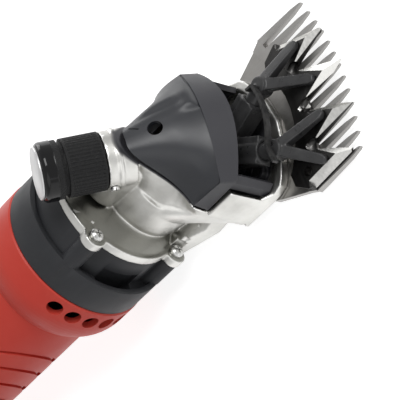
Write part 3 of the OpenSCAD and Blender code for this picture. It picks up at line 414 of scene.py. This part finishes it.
def turned_plate():
    """Aluminium faced on a lathe: fine rings round the axis of the tension knob."""
    t = Tree("plate_aluminium")
    off = t.vector("SUBTRACT", t.coord, TENSION_ORIGIN)
    radius = t.length(t.vector("CROSS_PRODUCT", off, TENSION_AXIS))
    inputs = {"W": radius, "Scale": 6000, "Detail": 2}
    rings = t.add("ShaderNodeTexNoise", inputs, noise_dimensions="1D").outputs["Fac"]
    clouds = t.range(t.noise(90, 4), 0.3, 0.7, 0, 1)
    t.shader(Base_Color=t.mix(clouds, (0.52, 0.52, 0.52), (0.66, 0.66, 0.66)), Metallic=1.0)
    t.shader(Roughness=t.range(rings, 0.3, 0.7, 0.32, 0.46))
    t.shader(Normal=t.bump(rings, 0.00001, 0.5))
    return t.mat


def make_materials():
    made = {name: moulded(name, **look) for name, look in PLASTICS.items()}
    made.update({name: ground_metal(name, **look) for name, look in GROUND_METALS.items()})
    made.update({name: blackened(name, **look) for name, look in BLACK_STEELS.items()})
    made.update({
        "knob_plastic": knob_plastic(),
        "cast_aluminium": cast_metal(),
        "plate_aluminium": turned_plate(),
        "blade_steel": comb_steel(),
        "cutter_steel": cutter_steel(),
        "core_steel": laminated(),
        "copper": wound()})
    return made


def seen_plainly(nt, mirrored):
    """1 for rays from the camera or through glass and mirrored for reflections, 0 for the rest."""
    path = nt.nodes.new("ShaderNodeLightPath")
    value = path.outputs["Is Camera Ray"]
    for name, share in (("Is Glossy Ray", mirrored), ("Is Transmission Ray", 1.0)):
        value = math_node(nt, "MAXIMUM", value, math_node(nt, "MULTIPLY", path.outputs[name], share))
    return value


def make_world():
    """Surroundings that light the object softly and show white."""
    world = bpy.data.worlds.new("studio")
    bpy.context.scene.world = world
    world.use_nodes = True
    nt = world.node_tree
    level = nt.nodes.new("ShaderNodeMapRange")
    nt.links.new(seen_plainly(nt, WORLD_MIRRORED), level.inputs["Value"])
    level.inputs["To Min"].default_value = WORLD_LIGHT
    level.inputs["To Max"].default_value = WORLD_SEEN
    back = nt.nodes["Background"]
    back.inputs["Color"].default_value = (1, 1, 1, 1)
    nt.links.new(level.outputs[0], back.inputs["Strength"])


def make_floor():
    """A pale floor that keeps the object's shadow."""
    place = (0.2, 0, CAD_BOX[0].z - FLOOR_GAP)
    bpy.ops.mesh.primitive_plane_add(size=FLOOR_SIZE, location=place)
    floor = bpy.context.object
    floor.name = "floor"
    mat = bpy.data.materials.new("floor")
    mat.use_nodes = True
    nt = mat.node_tree
    bsdf = nt.nodes["Principled BSDF"]
    bsdf.inputs["Base Color"].default_value = (FLOOR_GREY, FLOOR_GREY, FLOOR_GREY, 1)
    bsdf.inputs["Roughness"].default_value = 0.9
    bsdf.inputs["Specular IOR Level"].default_value = 0.1
    glow = nt.nodes.new("ShaderNodeEmission")
    lift = math_node(nt, "MULTIPLY", seen_plainly(nt, 1.0), FLOOR_GLOW)
    nt.links.new(lift, glow.inputs["Strength"])
    both = nt.nodes.new("ShaderNodeAddShader")
    nt.links.new(bsdf.outputs[0], both.inputs[0])
    nt.links.new(glow.outputs[0], both.inputs[1])
    nt.links.new(both.outputs[0], nt.nodes["Material Output"].inputs["Surface"])
    floor.data.materials.append(mat)


def make_lamps():
    """Three large soft lamps turned to the head."""
    for name, place, size, power in LAMPS:
        data = bpy.data.lights.new(name, "AREA")
        data.size = size
        data.energy = power
        lamp = bpy.data.objects.new(name, data)
        lamp.location = place
        lamp.rotation_euler = (LAMP_TARGET - Vector(place)).to_track_quat("-Z", "Y").to_euler()
        bpy.context.scene.collection.objects.link(lamp)


def dress(obj, node):
    """Gives an object the finish of a CAD node."""
    obj.data.materials.clear()
    obj.data.materials.append(MATERIALS[LOOKS.get(node, SLOT_OF[node])])


def stand_for(obj, node):
    """obj shows in place of a CAD node, on the same body and with the same finish."""
    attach(obj, BODY_OF[node])
    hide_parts(node)
    dress(obj, node)


def object_from(bm, name):
    """Puts a finished bmesh into the scene as an object."""
    mesh = bpy.data.meshes.new(name)
    bm.to_mesh(mesh)
    bm.free()
    obj = bpy.data.objects.new(name, mesh)
    bpy.context.scene.collection.objects.link(obj)
    return obj


def welded(node, flatten):
    """A copy of a CAD node's mesh with its seams joined and, if asked, its flat faces made whole."""
    bm = bmesh.new()
    bm.from_mesh(NODES[node].data)
    bmesh.ops.remove_doubles(bm, verts=bm.verts, dist=WELD_DISTANCE)
    if flatten:
        flat = math.radians(FLAT_ANGLE)
        bmesh.ops.dissolve_limit(bm, angle_limit=flat, verts=bm.verts, edges=bm.edges)
    return object_from(bm, node + "_piece")


def take_modifiers(obj):
    """Makes the result of the modifiers the object's own mesh."""
    dg = bpy.context.evaluated_depsgraph_get()
    mesh = bpy.data.meshes.new_from_object(obj.evaluated_get(dg))
    obj.modifiers.clear()
    obj.data = mesh


def drop_strays(mesh):
    """Joins points that lie on each other and drops specks too small to see."""
    bm = bmesh.new()
    bm.from_mesh(mesh)
    bmesh.ops.remove_doubles(bm, verts=bm.verts, dist=JOIN_DISTANCE)
    bmesh.ops.dissolve_degenerate(bm, edges=bm.edges, dist=JOIN_DISTANCE)
    seen, specks = set(), []
    for start in bm.verts:
        if start in seen:
            continue
        seen.add(start)
        island, todo = [], [start]
        while todo:
            vert = todo.pop()
            island.append(vert)
            near = {edge.other_vert(vert) for edge in vert.link_edges} - seen
            seen |= near
            todo.extend(near)
        places = np.array([v.co for v in island])
        if np.ptp(places, axis=0).max() < SPECK_SIZE:
            specks.extend(island)
    bmesh.ops.delete(bm, geom=specks, context="VERTS")
    bm.to_mesh(mesh)
    bm.free()


def finished(obj, node, smooth_angle):
    """Cleans an object, smooths it apart from its sharp edges and shows it for a CAD node."""
    take_modifiers(obj)
    drop_strays(obj.data)
    for poly in obj.data.polygons:
        poly.use_smooth = True
    obj.data.set_sharp_from_angle(angle=math.radians(smooth_angle))
    stand_for(obj, node)


def rounded(node, width):
    """A CAD node with small rounds on its sharp edges."""
    obj = welded(node, True)
    bevel = obj.modifiers.new("round", "BEVEL")
    bevel.width = width * MM
    bevel.segments = ROUND_SEGMENTS
    bevel.limit_method = "ANGLE"
    bevel.angle_limit = math.radians(ROUND_ANGLE)
    bevel.use_clamp_overlap = True
    bevel.miter_outer = "MITER_ARC"
    finished(obj, node, smooth_angle=40)


def fused(node, voxel, rounds):
    """A CAD node as a casting or forging: its corners flow into each other."""
    obj = welded(node, False)
    remesh = obj.modifiers.new("skin", "REMESH")
    remesh.mode = "VOXEL"
    remesh.voxel_size = voxel * MM
    soft = obj.modifiers.new("soft", "SMOOTH")
    soft.factor = 0.5
    soft.iterations = rounds
    less = obj.modifiers.new("less", "DECIMATE")
    less.ratio = 0.5
    finished(obj, node, smooth_angle=60)


def cut_by(obj, tool):
    """Takes the tool's volume out of an object and removes the tool."""
    cut = obj.modifiers.new("cut", "BOOLEAN")
    cut.operation = "DIFFERENCE"
    cut.solver = "EXACT"
    cut.object = tool
    bpy.context.view_layer.update()
    take_modifiers(obj)
    bpy.data.objects.remove(tool)


def prism(name, loop, other):
    """A closed solid between two loops of the same number of points."""
    bm = bmesh.new()
    a, b = [bm.verts.new(v) for v in loop], [bm.verts.new(v) for v in other]
    bm.faces.new(a)
    bm.faces.new(b[::-1])
    for k in range(len(a)):
        n = (k + 1) % len(a)
        bm.faces.new((a[n], a[k], b[k], b[n]))
    bmesh.ops.recalc_face_normals(bm, faces=bm.faces)
    return object_from(bm, name)


def ground_cutter():
    """The cutter with the wide slopes ground along its two outer flanks."""
    obj = welded("cutter", False)
    drop = GRIND_DEPTH / GRIND_WIDTH
    section = (
        (-GRIND_WIDTH, CUTTER_TOP),
        (GRIND_SPARE, CUTTER_TOP - drop * (GRIND_WIDTH + GRIND_SPARE)),
        (GRIND_SPARE, CUTTER_TOP + GRIND_ABOVE),
        (-GRIND_WIDTH, CUTTER_TOP + GRIND_ABOVE))
    for side in (-1, 1):
        ends = []
        for radius, angle in GRIND_ENDS:
            turn = math.radians(side * angle - REST_ANGLE)
            ends.append(Vector((SWING_X + radius * math.cos(turn), radius * math.sin(turn), 0)))
        along = (ends[1] - ends[0]).normalized()
        out = Vector((along.y, -along.x, 0)) * -side
        places = (ends[0] + along * GRIND_START, ends[1] + along * GRIND_PAST)
        loops = [[(p + out * n + Vector((0, 0, z))) * MM for n, z in section] for p in places]
        cut_by(obj, prism("grind", *loops))
    finished(obj, "cutter", smooth_angle=20)


def eased(x, low, high):
    """0 below low, 1 above high, smooth between."""
    t = min(max((x - low) / (high - low), 0.0), 1.0)
    return t * t * (3 - 2 * t)


def curve_through(x, points):
    """The value at x, up to the last place, on a smooth curve through (place, value) pairs."""
    for (x0, y0), (x1, y1) in zip(points, points[1:]):
        if x <= x1:
            return y0 + (y1 - y0) * eased(x, x0, x1)
    return points[-1][1]


def band_edge(edge, across, back):
    """A point of one edge of the band: across runs 0 to 1 over the front, back 0 to 1 on the side."""
    half, x, x_bend, z, z_bend, run = edge
    y = half * across
    return np.array((x - x_bend * y ** 2, y, z - z_bend * y ** 2)) + back * np.array(run)


def dome_lift(s, v):
    """How far the dome stands above straight lines from its rear edge to the band."""
    lift = curve_through(abs(s), LIFT_LEFT if s >= 0 else LIFT_RIGHT) * math.sin(math.pi * v)
    across = (1 - eased(s, *RECESS_LEFT)) * eased(s, *RECESS_RIGHT)
    lift -= RECESS_DEPTH * eased(v, *RECESS_ROWS) * across
    across = eased(s, *FOLD_RIGHT) * eased(-s, *FOLD_LEFT)
    lift += FOLD_HEIGHT * eased(v, *FOLD_RISE) * eased(1 - v, *FOLD_FALL) * across
    if LINE_ROWS[0] < v < LINE_ROWS[1]:
        lift -= LINE_DEPTH
    return lift


def cover_point(s, row):
    """A point of the cover's outside: s is -1 to 1 across, row 0 to 1 the dome, 1 to 2 the band."""
    a, side = abs(s), (1 if s >= 0 else -1)
    across, back = min(a / FRONT_SHARE, 1), max(0, (a - FRONT_SHARE) / (1 - FRONT_SHARE))
    inner = band_edge(BAND_REAR, across, back)
    if row > 1:
        p = inner + (band_edge(BAND_FRONT, across, back) - inner) * (row - 1)
    else:
        y = COVER_HALF_WIDTH * a
        x = REAR_X - REAR_BEND * min(y / REAR_BEND_Y, 1)
        rear = np.array((x, y, REAR_FOOT + REAR_RISE / (1 + (y / REAR_SPREAD) ** REAR_POWER)))
        p = rear + (inner - rear) * row + np.array((0, 0, dome_lift(s, row)))
    return Vector((SEAM_X + p[0], side * p[1], p[2])) * MM


def on_band(p):
    """Whether a point lies on the front band of the cover."""
    x, y, z = p[0] / MM - SEAM_X, abs(p[1]) / MM, p[2] / MM
    _, edge_x, x_bend, _, _, run = BAND_REAR
    if x > edge_x - x_bend * y * y + BAND_MARGIN:
        return True
    back = min(max((x - BAND_SIDE_X) / run[0], 0), 1)
    return x <= BAND_SIDE_X and y > BAND_SIDE_Y and z < BAND_SIDE_Z + run[2] * back


def cover_shell():
    """The cover's outside and inside skins, closed along the rim."""
    bm = bmesh.new()
    span = range(-COVER_COLUMNS, COVER_COLUMNS + 1)
    out = [[bm.verts.new(cover_point(j / COVER_COLUMNS, r)) for j in span] for r in COVER_ROWS]
    ins = [[bm.verts.new(COVER_CORE + (v.co - COVER_CORE) * COVER_INSIDE) for v in row] for row in out]
    n, m = len(span), len(COVER_ROWS)
    for k in range(m - 1):
        for j in range(n - 1):
            bm.faces.new((out[k][j], out[k][j + 1], out[k + 1][j + 1], out[k + 1][j]))
            bm.faces.new((ins[k][j], ins[k + 1][j], ins[k + 1][j + 1], ins[k][j + 1]))
    rim = [(0, j) for j in range(n - 1)] + [(k, n - 1) for k in range(m - 1)]
    rim += [(m - 1, j) for j in range(n - 1, 0, -1)] + [(k, 0) for k in range(m - 1, 0, -1)]
    for (k, j), (k2, j2) in zip(rim, rim[1:] + rim[:1]):
        bm.faces.new((out[k][j], ins[k][j], ins[k2][j2], out[k2][j2]))
    bmesh.ops.recalc_face_normals(bm, faces=bm.faces)
    return object_from(bm, "head_cover_piece")


def cut_oil_hole(obj):
    reach = OIL_HOLE_REACH * MM
    bpy.ops.mesh.primitive_cylinder_add(vertices=72, radius=OIL_HOLE_R * MM, depth=reach)
    hole = bpy.context.object
    lean = Matrix.Rotation(OIL_HOLE_LEAN, 4, "Y")
    rise = Matrix.Translation((0, 0, reach / 2))
    hole.matrix_world = Matrix.Translation(OIL_HOLE_FOOT) @ lean @ rise
    cut_by(obj, hole)


def cut_slit(obj):
    a, b = (cover_point(*end) for end in SLIT_ENDS)
    bpy.ops.mesh.primitive_cube_add(size=1)
    slit = bpy.context.object
    turn = (b - a).to_track_quat("X", "Z").to_matrix().to_4x4()
    size = Matrix.Diagonal((*(v * MM for v in SLIT_SIZE), 1))
    slit.matrix_world = Matrix.Translation((a + b) / 2) @ turn @ size
    cut_by(obj, slit)


def add_cheeks(obj):
    """Two upright posts at the ends of the band, one on each side of the head."""
    bm = bmesh.new()
    bm.from_mesh(obj.data)
    for side in (-1, 1):
        low = [bm.verts.new(Vector((SEAM_X + x, side * y, CHEEK_FOOT)) * MM) for x, y in CHEEK]
        face = bm.faces.new(low if side > 0 else low[::-1])
        up = bmesh.ops.extrude_face_region(bm, geom=[face])["geom"]
        tops = [v for v in up if isinstance(v, bmesh.types.BMVert)]
        bmesh.ops.translate(bm, verts=tops, vec=(0, 0, CHEEK_HEIGHT * MM))
        walls = {f for v in low for f in v.link_faces}
        lids = {f for f in up if isinstance(f, bmesh.types.BMFace)}
        bmesh.ops.recalc_face_normals(bm, faces=list(walls | lids))
    bm.to_mesh(obj.data)
    bm.free()


def smooth_cover():
    """The dark cover: a domed shell with a front band, an oil hole, a slit behind it and two cheeks."""
    obj = cover_shell()
    cut_oil_hole(obj)
    cut_slit(obj)
    add_cheeks(obj)
    finished(obj, "head_cover", smooth_angle=28)
    obj.data.materials.append(MATERIALS["cover_band"])
    for poly in obj.data.polygons:
        poly.material_index = int(on_band(poly.center))


bpy.context.scene.view_settings.view_transform = "Standard"
make_camera()
MATERIALS = make_materials()
for name, obj in NODES.items():
    dress(obj, name)
smooth_cover()
ground_cutter()
fused("head_casting", voxel=0.45, rounds=5)
for name in ("rocker", "left_fork", "right_fork"):
    fused(name, voxel=0.3, rounds=8)
for name, width in ROUNDS.items():
    rounded(name, width)
make_world()
make_floor()
make_lamps()
